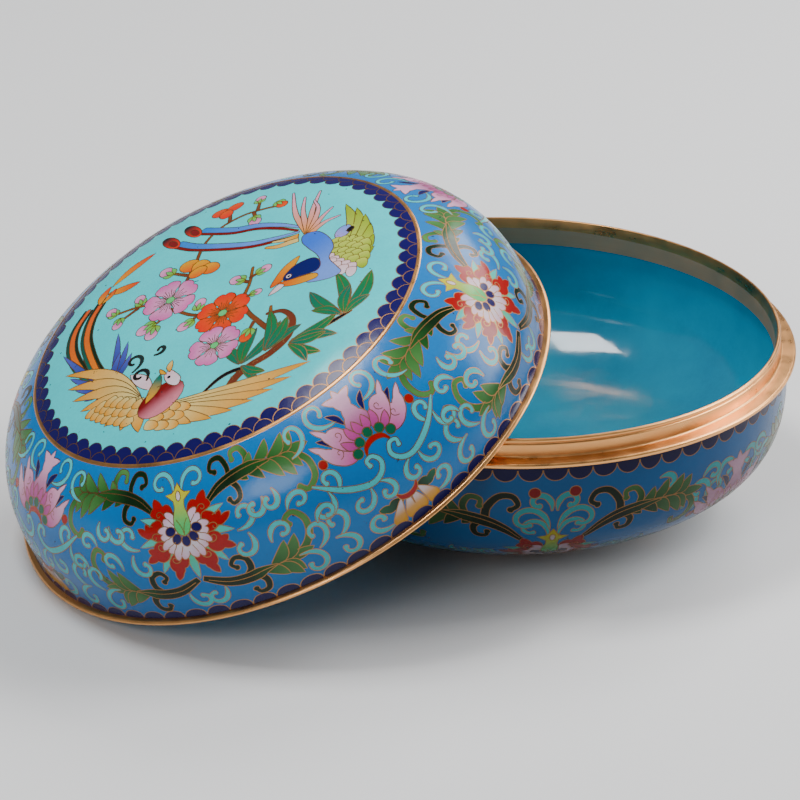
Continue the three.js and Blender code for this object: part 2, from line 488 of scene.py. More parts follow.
def paint_pink_flower(p):
    for dx0, y0, dx1, y1, width, bend in ((4.3, 41.6, 8.6, 47.9, 2.2, -0.9),
                                          (11.4, 36.8, 16.4, 42.2, 2, -0.8)):
        p.cell(blade(HALF - dx0, y0, HALF - dx1, y1, width, bend), COBALT)
    outer = [(5.6, 31.4), (8.6, 35.6), (11.2, 38.2), (13.2, 37.4), (14.8, 38.4), (19.8, 41.6),
             (17.8, 38.2), (16.6, 34.6), (14, 31.6), (10.6, 29.8), (7.4, 30)]
    inner = [(3.6, 35), (5.2, 39.2), (7.6, 42.8), (9.8, 43.4), (11.6, 43), (16, 46.4),
             (14, 42.6), (13.2, 39.6), (11.4, 36.4), (7.6, 33.2)]
    for petal, fade in ((outer, [(8, 31), (16, 38)]), (inner, [(6, 35), (13, 43)])):
        p.cell(lobed(from_pink(petal), 0.07), PINK, PINK_LIGHT, from_pink(fade))
    for dx, y in ((12.4, 34.4), (9.6, 39.6)):
        p.line(curl(HALF - dx, y - 1.4, 10, 6.5, 330), FINE)
    for dx0, y0, dx1, y1, width in ((4.6, 32.8, 9.6, 37.4, 3), (2.6, 34.4, 5.8, 41, 3.2)):
        p.cell(blade(HALF - dx0, y0, HALF - dx1, y1, width, 0.5), MAUVE, PINK,
               from_pink([(dx0, y0), (dx1, y1)]))
    middle = from_pink([(0, 54.4), (1.4, 51.9), (6.4, 52.2), (3.5, 49.2), (2.3, 46.2), (3.2, 43.4),
                        (4.8, 40.8), (3.4, 38), (0, 35.8), (-4, 45)])
    p.cell(lobed(middle, 0.06), MAUVE, PINK_LIGHT, from_pink([(0, 38), (0, 47)]))
    p.cell(blade(HALF, 35.2, HALF - 2.2, 41.4, 3.2, 0.7), MAUVE, PINK,
           from_pink([(0, 35), (2, 42)]))
    for dx, y in ((6.8, 31.3), (4.1, 34.1), (0, 35.3)):
        p.cell(ellipse(HALF - dx, y, 1.75, 1.75), BEAD)
    arc = smooth([(HALF - 4.7, 29.3), (HALF - 3.2, 31.6), (HALF, 32.6), (HALF + 3.2, 31.6)])
    p.cell(stroke(arc, (0.6, 1.7, 2, 1.7)), RED)
    p.cell(ellipse(HALF - 18.6, 34.6, 1.6, 1.6), RED)


def paint_half_flower(p):
    """Half a yellow-and-white flower at the rim, under the pink one."""
    sepal = [(2.6, 9.2), (5, 11.6), (7.4, 10.8), (11, 11), (9.2, 8.6), (6.4, 7.8)]
    p.cell(lobed(from_pink(sepal), 0.16), BEAD, LEAF_DARK, from_pink([(10, 10), (4, 9)]))
    for top, bottom, width in ((3.4, 6.3, 4.4), (0.9, 1.9, 3.9)):
        petal = [(top, 10.2), (bottom + width / 2, 4.6), (bottom + width * 0.32, 1.9),
                 (bottom - width * 0.36, 1.9), (bottom - width / 2, 4.6)]
        p.soft_cell(from_pink(petal), AMBER, WHITE, from_pink([(0, 4.6), (0, 8.4)]))
    arc = smooth([(HALF - 3.8, 12.4), (HALF - 2.6, 10.4), (HALF, 9.5), (HALF + 2.6, 10.4)])
    p.cell(stroke(arc, (0.5, 1.8, 2, 1.8)), RED)


def paint_scallops(p, y, reach):
    """A row of cobalt scales along the rim at y, which point `reach` beyond it."""
    pitch = HALF / SCALLOPS_A_HALF
    for k in range(SCALLOPS_A_HALF + 1):
        p.cell(ellipse(k * pitch, y, pitch * 0.49, reach, n=26), COBALT)


def lotus_scroll(height):
    """The lid's border; y runs from the rim to the picture."""
    p = Painting(chart(height), SKY)
    for paint in (paint_upper_leaf, paint_lower_leaf, paint_scrolls, paint_white_flower,
                  paint_pink_flower, paint_half_flower):
        paint(p)
    paint_scallops(p, 0, LID_SCALLOP)
    return p


def raised(p, rise, *paints):
    """Paints parts of the scroll further up the chart."""
    cells, wires = len(p.cells), len(p.wires)
    for paint in paints:
        paint(p)
    up = np.array([0, rise])
    p.cells[cells:] = [(outline + up, near, far, None if axis is None else np.asarray(axis) + up)
                       for outline, near, far, axis in p.cells[cells:]]
    p.wires[wires:] = [(path + up, width, level) for path, width, level in p.wires[wires:]]


def paint_rising_leaf(p):
    """The base's leaf: a steep dark stem, then a feathery tip. Its y is measured from the mouth."""
    tendril(p, [(21.6, -20.4), (21, -15.4), (17.6, -11.2), (13.4, -11.2), (11.6, -14.4),
                (13.8, -16.2)], (2.6, 2.6, 2.4, 2, 1.6), LEAF_DARK, bulb=1.5)
    tendril(p, [(23, -21), (25.4, -23.6), (24.8, -27), (21.8, -27.6), (21, -25.6)],
            (2.2, 2.2, 1.8, 1.4), LEAF_DARK, bulb=1.6)
    tendril(p, [(40, -20), (46.6, -20.6), (49.6, -25.4), (47.8, -31), (43.4, -32.4),
                (42.4, -29.6)], (1.8, 2.4, 2.3, 2, 1.6), LEAF_MID, LEAF_LIGHT, bulb=1.3)
    tendril(p, [(27.6, -18.6), (28.4, -15), (26.4, -11.8), (23.2, -12.4), (23.2, -15)],
            (2.2, 2.3, 1.9, 1.5), LEAF_MID, LEAF_LIGHT, bulb=1.5)
    rib = [(10.6, -29), (15.6, -24), (22, -20.4), (30, -18.6), (37, -18.4), (42, -18.6)]
    pale = ((1, 0, 8, 2.6), (0.94, 1, 7.2, 2.7), (0.92, -1, 7.6, 2.8), (0.82, 1, 8, 2.9),
            (0.80, -1, 9, 3.2), (0.70, 1, 7.4, 2.8), (0.68, -1, 8.6, 3.2), (0.60, 1, 5.6, 2.4))
    body = [(10.2, -29.6), (15.6, -24.4), (22, -20.8), (30, -19), (35.6, -18.8)]
    feathery_leaf(p, rib, pale, ((0.56, -1, 7, 2.8), (0.46, -1, 4.8, 2.4)), body,
                  (1.8, 3.2, 4.2, 4, 0.5), ((23, -20), (34, -18)))


def paint_fountain(p):
    """Scrolls over the base's flower and between its leaves, measured from the mouth."""
    c_scrolls(p, BASE_SCROLL, (
        (1.4, -24.6, 84, 24, -300), (0.9, -17, 96, 15, -290), (56, -24.6, 80, 18, 285),
        (60.6, -22, 110, 19, -285), (52.6, -15.6, 60, 14, -285), (35, -10.2, 20, 12, -280),
    ))
    p.cell(ellipse(6.4, -10, 1.9, 1.9), RED)


def paint_filling(p):
    """Scrolls between the base's flowers and its foot."""
    c_scrolls(p, BASE_SCROLL, (
        (6, 8, 60, 17, -290), (20, 6, 100, 17, -290), (20, 18, -80, 13, -290),
        (34, 8, 80, 17, 290), (36, 20, -70, 14, 290), (48, 6, 70, 16, -290),
        (50, 21, -60, 13, -280), (62, 8, 120, 16, 290), (64, 22, -120, 13, 280),
    ))


def base_scroll(height):
    """The same flowers lower down, under rising leaves; y runs from the foot to the mouth."""
    p = Painting(chart(height), SKY)
    paint_filling(p)
    for drop, *paints in ((WHITE_DROP, paint_lower_leaf, paint_scrolls),
                          (0, paint_fountain, paint_rising_leaf),
                          (WHITE_DROP, paint_white_flower), (PINK_DROP, paint_pink_flower),
                          (WHITE_DROP, paint_half_flower)):
        raised(p, height - drop, *paints)
    low, high = height - BAND, height + 1
    paint_scallops(p, low, BASE_SCALLOP)
    p.cell([(-1, low), (HALF + 1, low), (HALF + 1, high), (-1, high)], COBALT, wire=0)
    paint_scallops(p, 0, BASE_SCALLOP)
    return p


# ---- The picture on the lid ---------------------------------------------------------------------
# Two birds round a spray of plum blossom and bamboo. x and y are from the middle of the lid, y
# away from the viewer.

CREAM = linear(252, 218, 160)
GOLD_FEATHER = linear(236, 160, 64)
APRICOT = linear(244, 142, 72)
SCARLET = linear(236, 74, 8)
MAROON = linear(120, 26, 24)
ROSE = linear(214, 138, 150)
PLUM = linear(214, 118, 172)
PLUM_LIGHT = linear(244, 178, 208)
AZURE = linear(42, 128, 206)
CORNFLOWER = linear(74, 116, 214)
PERIWINKLE = linear(128, 158, 232)
NAVY = linear(14, 22, 92)
VIOLET = linear(92, 104, 190)
LILAC = linear(176, 160, 220)
OLIVE = linear(150, 172, 60)
LIME = linear(204, 214, 128)
PALE_PINK = linear(246, 206, 212)
BROWN = linear(112, 60, 46)
TWIG = linear(142, 92, 58)
BLACK = linear(10, 14, 20)
BAMBOO = linear(64, 124, 74)
TEAL = linear(0, 112, 98)
GRAPHITE = linear(34, 60, 60)
PICTURE_SCALES = 62              # in each of the two rows round its edge
PICTURE_EDGE = 73.0              # of the gilt ring, along the surface from the middle
SCALE_ROWS = ((69.8, 3.7), (PICTURE_EDGE, 3.9))    # each row's middle and half its length
STAMENS = 5                      # on each petal
STOUT = WIRE * 0.9               # wire round a petal


def parallel(path, distance):
    return path + sideways(path) * distance


def feather(p, points, widths, near, far=None):
    tendril(p, points, widths, near, far, bulb=0.9)


def blossom(p, x, y, radius, petals, near, far, start):
    """A flower of equal petals, the first of which points along `start`."""
    wide = 2.5 / petals
    side = [(0.45, 0.52 * wide), (0.76, 0.98 * wide), (0.96, 0.66 * wide), (1.02, 0.24 * wide)]
    petal = np.array([(0.1, 0), *[(a, -b) for a, b in side], (0.95, 0), *side[::-1]])
    for k in range(petals):
        angle = start + 360 * k / petals
        p.cell(lobed(spoke(petal * radius, angle, (x, y)), 0.1), near, far,
               spoke([(radius * 0.2, 0), (radius, 0)], angle, (x, y)), STOUT)
        for j in range(STAMENS):
            spread = angle + (j - (STAMENS - 1) / 2) * 60 / petals
            reach = radius * (0.62 if j % 2 else 0.5)
            p.line(spoke([(radius * 0.2, 0), (reach, 0)], spread, (x, y)), FINE)
    p.cell(ellipse(x, y, radius * 0.17), POD)


def bud(p, x, y, angle, size, near=PLUM, far=PLUM_LIGHT):
    """A bud that points along `angle`, in its sepals."""
    at = np.array([x, y])
    p.cell(ellipse(x, y, size, size * 0.86, angle), near, far,
           spoke([(-size, 0), (size, 0)], angle, at))
    for side in (-1, 0, 1):
        a, b = spoke([(-size * 1.5, 0), (size * (0.1 - 0.3 * abs(side)), side * size * 0.8)],
                     angle, at)
        p.cell(blade(*a, *b, size * 0.62, side * size * 0.2), OLIVE, POD, (a, b), FINE)


def bamboo(p, x, y, *leaves):
    """Leaves that spring from one place, each as angle, length and width."""
    for k, (angle, length, width) in enumerate(leaves):
        a, b = spoke([(0.6, 0), (length, 0)], angle, np.array([x, y]))
        near, far, side = (BAMBOO, TEAL, 1) if k % 2 else (TEAL, BAMBOO, -1)
        bend = 0.08 * length * side
        p.cell(blade(*a, *b, width, bend, n=11), near, far, (a, b))
        p.line(smooth([a, (a + b) / 2 + np.array([-(b - a)[1], (b - a)[0]]) / length * bend, b]),
               FINER)


def scales(p, rows, near, far):
    """Overlapping feathers: each row is a curve, how many, their size and their heading."""
    for points, count, size, heading in rows:
        path = smooth(points)
        for at in path[np.linspace(0, len(path) - 1, count).astype(int)]:
            outline = spoke([(-size, -size * 0.62), (size * 0.3, -size * 0.66), (size, 0),
                             (size * 0.3, size * 0.66), (-size, size * 0.62)], heading, at)
            p.cell(smooth(outline, closed=True), near, far,
                   spoke([(-size, 0), (size, 0)], heading, at), FINE)


def paint_spray(p):
    """The blossoming branch with buds, berries and bamboo."""
    trunk = [(3.6, -51.6), (7, -46.2), (13, -42.6), (20, -40), (26.4, -34.6), (28.4, -26.6),
             (25.2, -20.6), (19.4, -19)]
    feather(p, trunk, (3.2, 3, 2.8, 2.8, 2.6, 2, 1.3), BROWN, BROWN)
    feather(p, [(26.6, -31.6), (20.4, -28), (15.6, -20.4), (12.2, -13.6), (10.6, -6),
                (13, 2), (14.2, 10.6)], (2.4, 2, 1.7, 1.5, 1.2, 1), BROWN, TWIG)
    feather(p, [(20.6, -19.4), (20.8, -15.6)], (1.4, 1), TWIG)
    for points in ([(11, -10), (2.6, -9), (-8, -4), (-16, 4), (-26, 12.6), (-41, 15.6)],
                   [(-13, 10), (-10.6, 18), (-7.4, 27), (-4.6, 36.4), (1.4, 43.6), (9.6, 46.6),
                    (17, 46.2), (23, 45)],
                   [(-29, 13), (-36.6, 9.6)], [(-15, 3.6), (-22.6, -1)],
                   [(-6, -5), (-10.6, -8.4)], [(4.6, 45.4), (4.4, 54.6)],
                   [(13.6, 46.6), (14.6, 41)], [(12.6, 3), (9, 6)],
                   [(13, 5), (18, 7)], [(11.4, -5), (15.6, -4.6)], [(15, 46.6), (15.6, 54)],
                   [(-9.6, 20), (-18, 27)], [(14.6, -20.6), (11.6, -26.6)]):
        feather(p, points, (1.5, 1.2, 1), BROWN, TWIG)
    for k in range(9):
        x, y = smooth(trunk, step=6)[k + 1]
        p.line(curl(x - 0.9, y - 0.6, 40 + 25 * k, 2.6, 150), STOUT)
    feather(p, [(-5.4, -48), (2, -43.4), (8.4, -42.6), (14, -44.4)], (0.8, 1.5, 1.6, 0.8), BLACK)
    feather(p, [(27.6, -37), (36, -35.8), (43, -33.2), (48.6, -30.4)], (0.8, 1.5, 1.6, 1.1),
            BLACK)
    bamboo(p, 9, -41, (118, 13.6, 4.4), (68, 17.6, 5), (46, 22, 4.4), (-66, 12, 3.6),
           (-38, 11, 3.4))
    bamboo(p, 17.6, -38.6, (82, 21, 4.4), (30, 16, 4.2), (58, 17, 4.6))
    bamboo(p, 26, -38, (24, 19.6, 4.6), (-6, 17.6, 4.8), (-36, 14, 4.2), (-60, 12.6, 3.8),
           (2, 13.6, 4))
    bamboo(p, 46, -31.6, (94, 23.6, 4.6), (124, 20, 5), (62, 22.6, 5.2), (38, 12, 3.6),
           (150, 12.6, 3.8), (78, 15, 4))
    for x, y, angle, size in ((15.6, 55.6, 80, 2.4), (14.4, 39.4, -80, 2.8), (-18.8, 28, 130, 3),
                              (-28.6, 17.8, 100, 2.6), (-39.8, 17.6, 120, 2.6),
                              (-37.2, 8.4, -110, 2.5), (-26.6, -1.4, 200, 3.2),
                              (-23.8, -5.6, 250, 3), (-11.4, -8.4, 200, 2.8),
                              (-5.4, 1.4, 70, 2.6), (8, 6.8, 150, 2.7), (18.8, 7.2, 20, 2.5),
                              (15.8, -4.6, 0, 1.9)):
        bud(p, x, y, angle, size)
    bud(p, 11.4, -27.2, 240, 2.8, SCARLET, ORANGE)
    bud(p, 24, 45.6, -60, 2.6, SCARLET, ORANGE)
    for x, y, angle, size in ((0.4, 55.4, 150, 3.6), (5.8, 56.2, 30, 3.4), (2.8, 52.6, -80, 3.2)):
        p.cell(ellipse(x, y, size, size * 0.84, angle), SCARLET, ORANGE, ((x, y - 2), (x, y + 3)))
    for x, y, angle, size in ((-9.6, 26, 150, 4.4), (-5.4, 22.6, 110, 4.6), (-2, 20, -30, 4),
                              (-6.6, 20.4, 200, 3.6)):
        p.cell(ellipse(x, y, size, size * 0.78, angle), ORANGE, AMBER, ((x, y - 3), (x, y + 3)))
    blossom(p, -16.8, 10, 10.2, 5, PLUM_LIGHT, PLUM, 98)
    blossom(p, 3, -9.2, 10.2, 6, ORANGE, SCARLET, 84)
    blossom(p, 0, -25.6, 9.4, 5, PLUM_LIGHT, PLUM, 100)


def paint_upper_bird(p):
    for points, eye, angle in (
            ([(31.2, 21.4), (22, 22.4), (13, 24.6), (2, 30), (-8.4, 36.6), (-15, 43)],
             (-18.2, 47.6), 120),
            ([(31.4, 24), (25, 29), (16, 34.4), (7, 37.4), (0, 41.6), (-5.6, 45.6)],
             (-9.8, 49.4), 118)):
        path = smooth(points)
        p.cell(stroke(parallel(path, 0.9), (1, 1.4, 1.5, 1.6, 1.8)), MAROON)
        p.cell(stroke(parallel(path, -1), (1, 2.2, 2.6, 2.8, 3)), AZURE, PERIWINKLE,
               (points[-1], points[0]))
        x, y = eye
        p.cell(ellipse(x, y, 6.4, 2.5, angle), BLACK, SCARLET, spoke([(5, 0), (-4, 0)], angle, eye))
        p.cell(ellipse(*spoke([(-1.8, 0)], angle, eye)[0], 3.2, 1.3, angle), MAROON)
    feather(p, [(31, 18), (24, 17.6), (19, 19.4)], (3.4, 2.4, 1.2), CREAM, GOLD_FEATHER)
    feather(p, [(31, 20), (26, 20.2), (21.4, 21.4)], (2.6, 1.8, 0.9), GOLD_FEATHER, CREAM)
    for middle, tip in (((29.8, 34), (28, 51.6)), ((32.4, 34), (32.6, 45.4)),
                        ((35.6, 32.6), (38, 47.6)), ((37.8, 33), (36.2, 41)),
                        ((39, 27), (43, 32.6)), ((40.2, 23.6), (45.8, 25.6))):
        feather(p, [(34.6, 18.4), middle, tip], (2.4, 2, 0.8), GOLD_FEATHER, PLUM_LIGHT)
    for tip in ((47.6, 32.8), (51.6, 28.6), (54.6, 23), (56.6, 16.4), (57.8, 9), (57.8, 1.6)):
        p.cell(blade(46, -1, *tip, 4.6, -3.6, n=12), LIME, OLIVE, ((47, 4), tip))
    p.cell(ellipse(47, 14.6, 4, 2.6, 60), LILAC, PERIWINKLE, ((45, 12), (49, 17)))
    p.cell(ellipse(49.6, 15, 1.7, 1.1, 60), BLACK)
    scales(p, (([(45, 8.6), (50, 8), (55, 4)], 5, 2.7, -70),
               ([(43.6, 6), (48.6, 5), (54.6, 0.4)], 6, 2.7, -75),
               ([(43, 3), (48, 1.4), (54.4, -3.4)], 6, 2.7, -80),
               ([(43.6, 0), (48, -2), (53.4, -7)], 5, 2.7, -85)), LIME, OLIVE)
    scales(p, (([(42, 0.6), (45.4, -4), (49.6, -8)], 5, 2.5, -95),
               ([(42.6, -2.6), (45.6, -7), (49.4, -10.4)], 4, 2.5, -100)), PALE_PINK, WHITE)
    body = [(33, 19.4), (38, 19), (42, 13.4), (43.6, 7), (42, 1), (44.6, -5), (46, -8.6),
            (42.6, -10.6), (37, -10.2), (33.6, -8.6), (36, -4.6), (38.6, 0), (37.6, 5),
            (34.4, 10.6), (32.2, 15.6)]
    p.soft_cell(body, CORNFLOWER, PERIWINKLE, ((34, 12), (43, -4)))
    p.soft_cell([(31.4, 7.6), (25.6, 4), (21.2, -3), (21, -5.4), (25, -3.4), (29, 1.6)],
                ORANGE, AMBER, ((21, -5), (31, 7)))
    p.soft_cell([(23.6, -4.2), (29.6, -4.6), (36.8, -5.2), (37.4, -8), (31, -8.6), (25.4, -7)],
                ORANGE, AMBER, ((24, -4), (37, -8)))
    p.soft_cell([(25.6, -1.6), (29.6, 2.8), (36, 4), (38.8, 0.4), (37.6, -4), (31, -4.4),
                 (26.2, -4.2)], NAVY)
    p.cell(lobed([(23.8, -4.8), (19.8, -9.4), (24.6, -7.8), (25.8, -6.2)], 0.08), PALE_PINK, WHITE,
           ((20, -9), (25, -5)))
    p.cell(ellipse(27.4, -2.2, 1.1), WHITE)
    p.cell(ellipse(27.4, -2.2, 0.55), BLACK, wire=0)


def paint_lower_bird(p):
    for points in ([(-41.6, -22), (-48, -13), (-53.2, -2), (-55.6, 9), (-54.6, 19), (-50, 27.4)],
                   [(-40.6, -21), (-45, -11), (-48, 0), (-49.4, 10), (-48, 20), (-44.6, 27.6)]):
        path = smooth(points)
        p.cell(stroke(parallel(path, 1.9), (0.8, 1.6, 1.8, 1.6, 1)), TEAL, LEAF_DARK,
               (points[0], points[-1]))
        p.cell(stroke(parallel(path, 0.2), (1, 2.2, 2.6, 2.4, 2)), APRICOT, ORANGE,
               (points[0], points[-1]))
        p.cell(stroke(parallel(path, -1.6), (0.8, 1.2, 1.3, 1.1, 0.8)), LEAF_DARK)
    for x0, y0, x1, y1, width, bend in ((-45.6, 27, -41.4, 36.6, 3.8, 1),
                                        (-42.6, 32, -29, 29.6, 4.2, -1),
                                        (-41, 35.4, -24, 45.2, 4.4, 1.2),
                                        (-44.6, 27, -39, 33, 2.8, -0.6)):
        p.cell(blade(x0, y0, x1, y1, width, bend), AMBER, SCARLET, ((x0, y0), (x1, y1)))
    for tip, bend in (((-59.6, 7.4), 1.2), ((-56, -8.6), 1), ((-53.6, -17), 0.8),
                      ((-36.6, 3.2), -1), ((-32.6, -4), -1), ((-31, -11.4), -0.8),
                      ((-50, -25), 0.6), ((-35.4, -8), 0.4)):
        p.cell(blade(-39.6, -24.6, *tip, 2.6, bend), NAVY, VIOLET, ((-40, -24), tip))
    p.cell(ellipse(-38.4, -27, 7.4, 5.6, -24), MAROON, ROSE, ((-39, -24), (-38, -31)))
    for k, tip in enumerate(((-58, -5.6), (-57, -14), (-55, -21.6), (-51.8, -29),
                             (-47.6, -36), (-42.6, -42.4), (-36.6, -48), (-29.8, -52.6))):
        p.cell(blade(-27, -39, *tip, 5.4, -4.4 + k * 0.5, n=14), CREAM, GOLD_FEATHER,
               ((-34, -38), tip))
    for k, tip in enumerate(((33.6, -49.4), (26.6, -53.8), (19.8, -56.8), (12.6, -58.8),
                             (5, -60), (-2.6, -60.2), (-10, -58.8), (-17, -56.6))):
        p.cell(blade(-24, -45, *tip, 5, -3.4 + k * 0.5, n=14), CREAM, GOLD_FEATHER,
               ((-12, -50), tip))
    scales(p, (([(-47.4, -33), (-42, -39), (-34, -45.6)], 7, 2.6, 190),
               ([(-43.6, -32.4), (-38.6, -37.6), (-31, -42.6)], 6, 2.6, 190),
               ([(-39.6, -32.4), (-35, -36), (-29, -39.8)], 5, 2.6, 190),
               ([(-12, -50.4), (-14.6, -53), (-17, -56)], 3, 2.7, -25),
               ([(-15.6, -48.4), (-18.4, -51.4), (-20.6, -54.4)], 3, 2.7, -25),
               ([(-19.6, -47.4), (-22, -50), (-24.4, -52.4)], 3, 2.7, -30)), CREAM, GOLD_FEATHER)
    p.cell(ellipse(-20.4, -42.2, 9.4, 6.4, 24), ROSE, MAROON, ((-19, -45), (-21, -40)))
    p.cell(blade(-31.6, -23.4, -23.4, -36, 5, 0.6), WHITE, PALE_PINK, ((-31, -24), (-24, -35)))
    p.cell(blade(-20, -29.6, -26.2, -41.4, 4.2, 0.8), TEAL, AMBER, ((-21, -32), (-25, -40)))
    p.soft_cell([(-18.6, -31), (-16.4, -29.6), (-14.6, -31.6), (-12.6, -35.6), (-14, -38.6),
                 (-16.8, -37), (-18.4, -34)], PALE_PINK, WHITE, ((-17, -31), (-14, -38)))
    p.cell(blade(-16.6, -30.6, -15.6, -24.8, 2.4, 0.5), GOLD_FEATHER, CREAM,
           ((-16, -30), (-16, -25)))
    p.cell(blade(-17.8, -31, -20.4, -27, 1.6, 0.4), AMBER)
    p.cell(ellipse(-17, -33, 0.7), BLACK, wire=0)
    for x, y, heading, length, turn in ((-31, -22.6, 24, 17, 330), (-25.4, -30, 66, 15, 320),
                                        (-22.6, -18, -20, 9, 300)):
        p.cell(stroke(curl(x, y, heading, length, turn), (0.6, 1.5, 1.3, 0.9), 1.2), BLACK,
               GRAPHITE, ((x, y), (x + 8, y + 3)), FINER)


def picture():
    """The round picture, inside its two rows of cobalt scales."""
    edge = PICTURE_EDGE - RING_WIDTH / 2
    p = Painting(ellipse(0, 0, edge, edge, n=TURNS), POND)
    paint_spray(p)
    paint_lower_bird(p)
    paint_upper_bird(p)
    pitch = 2 * math.pi * PICTURE_EDGE / PICTURE_SCALES
    for row, (centre, reach) in enumerate(SCALE_ROWS):
        for k in range(PICTURE_SCALES):
            angle = 360 * (k + row / 2) / PICTURE_SCALES
            at = spoke([(centre, 0)], angle, (0, 0))[0]
            p.cell(ellipse(*at, reach, pitch * 0.485, angle, n=22), COBALT)
    return p


# ---- Turned surfaces ----------------------------------------------------------------------------

CORNER_POINTS = 5                # on each rounded corner of a profile
CORNER_SHARE = 0.45              # of a side that one corner may take


def quarter_curve(wide, wide_z, pole_z, roundness, start=0.0, end=math.pi / 2, n=500):
    """The solids' superellipse quarter, from its widest point at angle 0 to its pole."""
    radial, axial = roundness
    angle = np.linspace(start, end, n)
    across = np.maximum(np.cos(angle), 0) ** (2 / radial)
    along = np.sin(angle) ** (2 / axial)
    return np.stack([wide * across, wide_z + (pole_z - wide_z) * along], 1)


class Surface:
    """A surface turned about z from a profile, addressed by length along it and by angle. Its
    outside is on the right of the profile's direction."""

    def __init__(self, profile, pose):
        self.profile = np.asarray(profile, float)
        step = np.hypot(*np.diff(self.profile, axis=0).T)
        self.length = np.concatenate([[0], np.cumsum(step)])
        along = np.gradient(self.profile, self.length, axis=0)
        along /= np.hypot(*along.T)[:, None]
        self.across = np.stack([along[:, 1], -along[:, 0]], 1)
        self.pose = pose
        self.total = self.length[-1]

    def at(self, length, angle, lift=0.0):
        """Points in metres in the row frame, and their normals."""
        def look_up(values):
            return np.interp(length, self.length, values)

        nr, nz = look_up(self.across[:, 0]), look_up(self.across[:, 1])
        r = look_up(self.profile[:, 0]) + nr * lift
        z = look_up(self.profile[:, 1]) + nz * lift
        points = np.stack([r * np.cos(angle), r * np.sin(angle), z], 1) * MM
        normals = np.stack([nr * np.cos(angle), nr * np.sin(angle), nz], 1)
        turn = np.array(self.pose.to_3x3())
        return points @ turn.T + np.array(self.pose.translation), normals @ turn.T


def build(name, verts, faces, normals, material, colours=None, uv=None):
    """A mesh piece that rides on the only body."""
    mesh = bpy.data.meshes.new(name)
    mesh.from_pydata(verts.tolist(), [], faces.tolist())
    mesh.materials.append(material)
    mesh.polygons.foreach_set("use_smooth", np.ones(len(faces), bool))
    if colours is not None:
        layer = mesh.color_attributes.new("Enamel", "FLOAT_COLOR", "CORNER")
        flat = np.concatenate([colours.reshape(-1, 3), np.ones((colours.shape[0] * 3, 1))], 1)
        layer.data.foreach_set("color", flat.ravel())
    if uv is not None:
        layer = mesh.uv_layers.new(name="OFBake")
        layer.uv.foreach_set("vector", uv.reshape(-1))
    if normals is not None:
        mesh.normals_split_custom_set_from_vertices(normals.tolist())
    piece = bpy.data.objects.new(name, mesh)
    bpy.context.collection.objects.link(piece)
    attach(piece, "root")
    return piece


def lathe(name, profile, pose, material, corner=0.25, closed=True, turns=TURNS):
    """A turned piece from a profile in millimetres, its corners rounded by `corner`."""
    p = rounded(np.asarray(profile, float), corner, closed)
    n = len(p)
    angle = np.linspace(0, 2 * np.pi, turns, endpoint=False)
    ring = np.stack([np.cos(angle), np.sin(angle)], 1)
    verts = np.empty((n, turns, 3))
    verts[..., :2] = p[:, None, :1] * ring[None]
    verts[..., 2] = p[:, None, 1]
    a, b = np.meshgrid(np.arange(n if closed else n - 1), np.arange(turns), indexing="ij")
    c, d = (a + 1) % n, (b + 1) % turns
    faces = np.stack([a * turns + b, a * turns + d, c * turns + d, c * turns + b], -1)
    faces = faces.reshape(-1, 4)
    turn = np.array(pose.to_3x3())
    verts = verts.reshape(-1, 3) * MM @ turn.T + np.array(pose.translation)
    run = np.concatenate([[0], np.cumsum(np.hypot(*np.diff(p, axis=0).T))])
    run = np.append(run, run[-1] + np.hypot(*(p[0] - p[-1])))
    u = np.stack([b, b + 1, b + 1, b], -1) / turns
    v = np.stack([run[a], run[a], run[a + 1], run[a + 1]], -1) / run[-1]
    uv = np.stack([u, v], -1)
    return build(name, verts, faces, None, material, uv=uv)


def rounded(points, radius, closed):
    """The points, with each sharp corner replaced by a short curve."""
    if radius == 0:
        return points
    out = []
    n = len(points)
    for i, corner in enumerate(points):
        if not closed and i in (0, n - 1):
            out.append(corner[None])
            continue
        before, after = points[i - 1] - corner, points[(i + 1) % n] - corner
        la, lb = np.hypot(*before), np.hypot(*after)
        reach = min(radius, CORNER_SHARE * la, CORNER_SHARE * lb)
        a, b = corner + before / la * reach, corner + after / lb * reach
        t = np.linspace(0, 1, CORNER_POINTS)[:, None]
        out.append((1 - t) ** 2 * a + 2 * t * (1 - t) * corner + t**2 * b)
    return np.vstack(out)


# ---- Wrapping the paintings ---------------------------------------------------------------------

WIRE_RISE = 0.03                 # of the wires above the enamel
LATTICE = 2.4                    # spacing of the extra points that let a surface curve
WANDER_FADE = 6.0                # the lines stop wandering towards an edge, within this of it
UV_MARGIN = 0.005                # left free at each end of a repeat's strip
SCROLL_SPAN, PICTURE_SPAN = 2.01, 2.02     # two charts' widths, with a margin


def hand_drawn(x, y):
    """A slow wander, in millimetres, so that no two repeats are quite alike."""
    across = 0.30 * np.sin(0.071 * x + 0.9) * np.sin(0.16 * y) + 0.22 * np.sin(0.19 * x + 0.13 * y)
    up = 0.26 * np.sin(0.083 * x + 2.0) + 0.18 * np.sin(0.23 * x - 0.11 * y)
    return across, up


def ribbon_mesh(ribbons):
    """Flat strips along the wires: points on the chart and quads."""
    points, faces, first = [], [], 0
    for path, width in ribbons:
        gaps = np.hypot(*np.diff(path, axis=0).T) > 1e-6
        path = path[np.append(True, gaps)]
        n = len(path)
        if n < 2:
            continue
        side = sideways(path) * width / 2
        points.append(np.vstack([path + side, path - side]))
        k = np.arange(n - 1) + first
        faces.append(np.stack([k + n, k + n + 1, k + 1, k], 1))
        first += 2 * n
    return np.vstack(points), np.vstack(faces)


